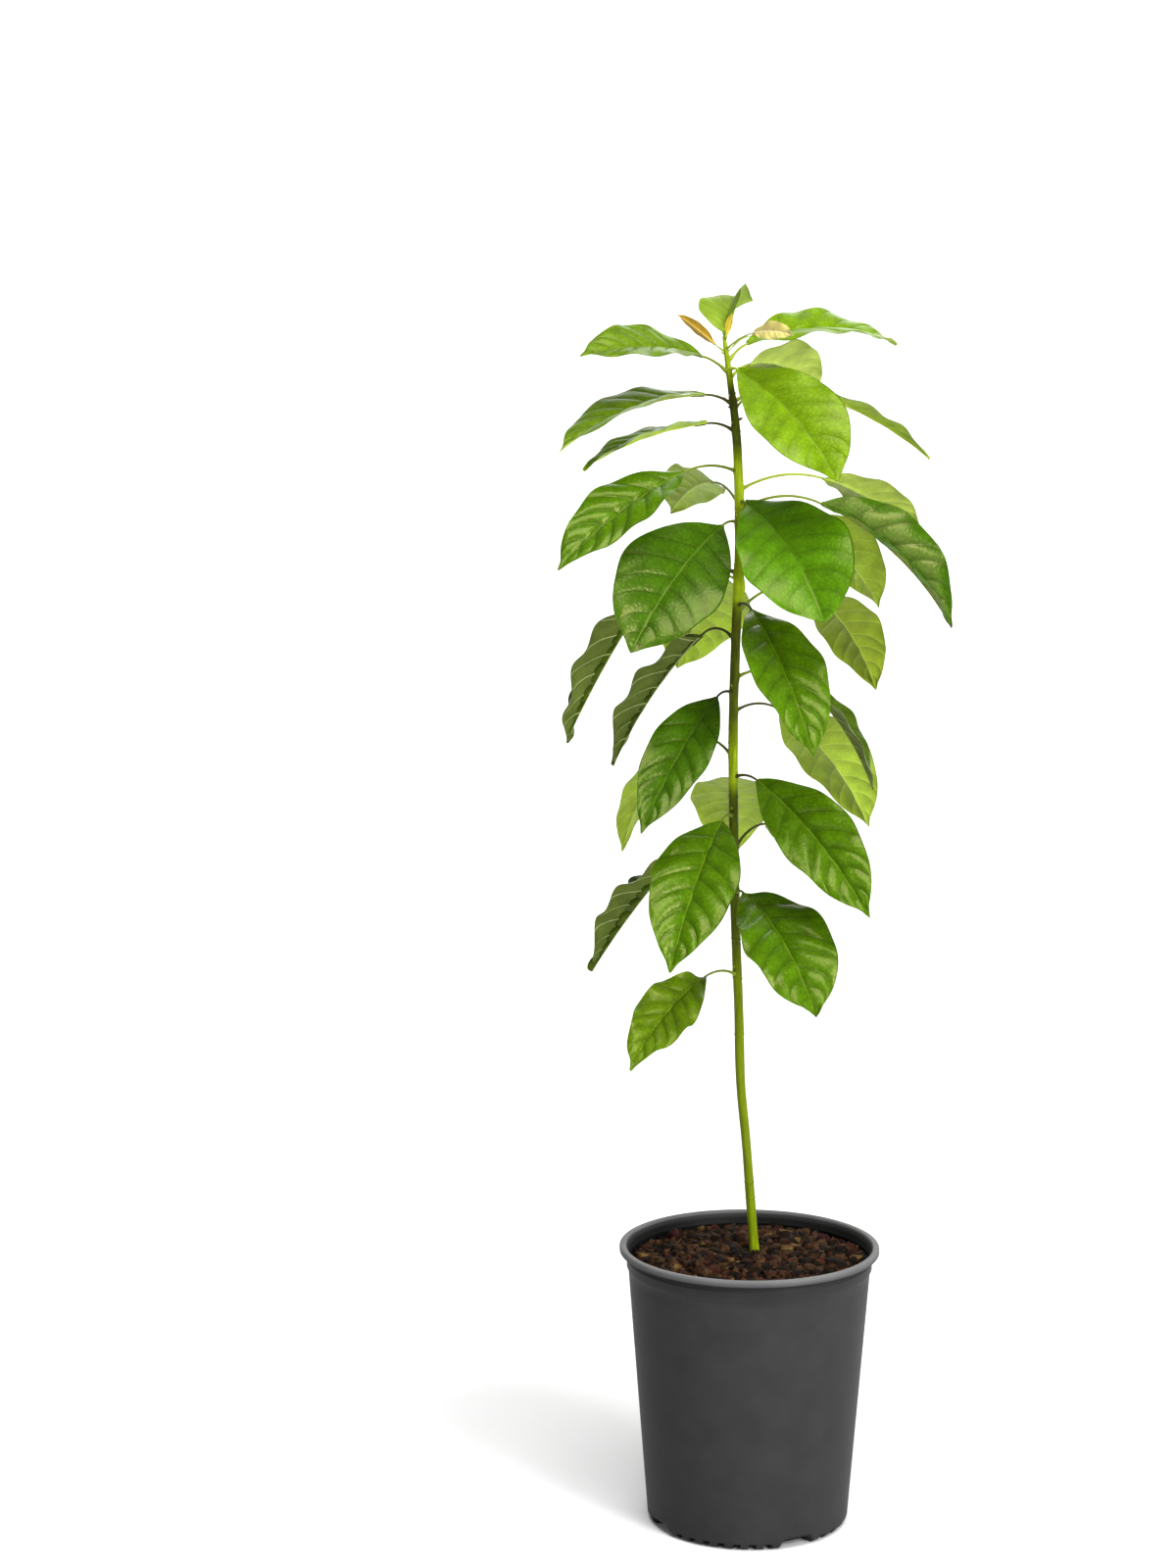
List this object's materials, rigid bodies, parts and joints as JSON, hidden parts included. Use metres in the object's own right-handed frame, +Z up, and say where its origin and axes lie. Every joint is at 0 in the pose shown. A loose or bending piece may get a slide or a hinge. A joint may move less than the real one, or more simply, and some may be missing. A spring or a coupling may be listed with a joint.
{
  "type": "young avocado tree in a nursery pot",
  "caption": "Young avocado tree with one slender leaning stem and drooping oval leaves on petioles, rooted in soil in a round tapered dark nursery pot with drain arches.",
  "frame": {"origin": "middle of the flat underside of the pot, on the surface that it stands on", "axes": "+Z up along the pot's axis and the tree's height; -Y towards the viewer of the front view; +X to the viewer's right"},
  "size_m": [0.3408, 0.3255, 1.0915],
  "materials": {
    "pot_plastic": "satin",
    "potting_mix": "matte",
    "green_bark": "satin",
    "mature_leaf": "satin",
    "young_leaf": "satin"
  },
  "bodies": {
    "root": {"pot": "pot_plastic", "potting_soil": "potting_mix", "stem": "green_bark", "leaf_01": "mature_leaf", "leaf_02": "mature_leaf", "leaf_03": "mature_leaf", "leaf_04": "mature_leaf", "leaf_05": "mature_leaf", "leaf_06": "mature_leaf", "leaf_07": "mature_leaf", "leaf_08": "mature_leaf", "leaf_09": "mature_leaf", "leaf_10": "mature_leaf", "leaf_11": "mature_leaf", "leaf_12": "mature_leaf", "leaf_13": "mature_leaf", "leaf_14": "mature_leaf", "leaf_15": "mature_leaf", "leaf_16": "mature_leaf", "leaf_17": "mature_leaf", "leaf_18": "mature_leaf", "leaf_19": "mature_leaf", "leaf_20": "mature_leaf", "leaf_21": "mature_leaf", "leaf_22": "mature_leaf", "leaf_23": "mature_leaf", "leaf_24": "mature_leaf", "leaf_25": "mature_leaf", "leaf_26": "mature_leaf", "leaf_27": "mature_leaf", "leaf_28": "mature_leaf", "leaf_29": "mature_leaf", "leaf_30": "mature_leaf", "leaf_31": "mature_leaf", "young_leaf_1": "young_leaf", "young_leaf_2": "young_leaf", "young_leaf_3": "young_leaf", "young_leaf_4": "young_leaf", "young_leaf_5": "young_leaf"}
  },
  "joints": []
}
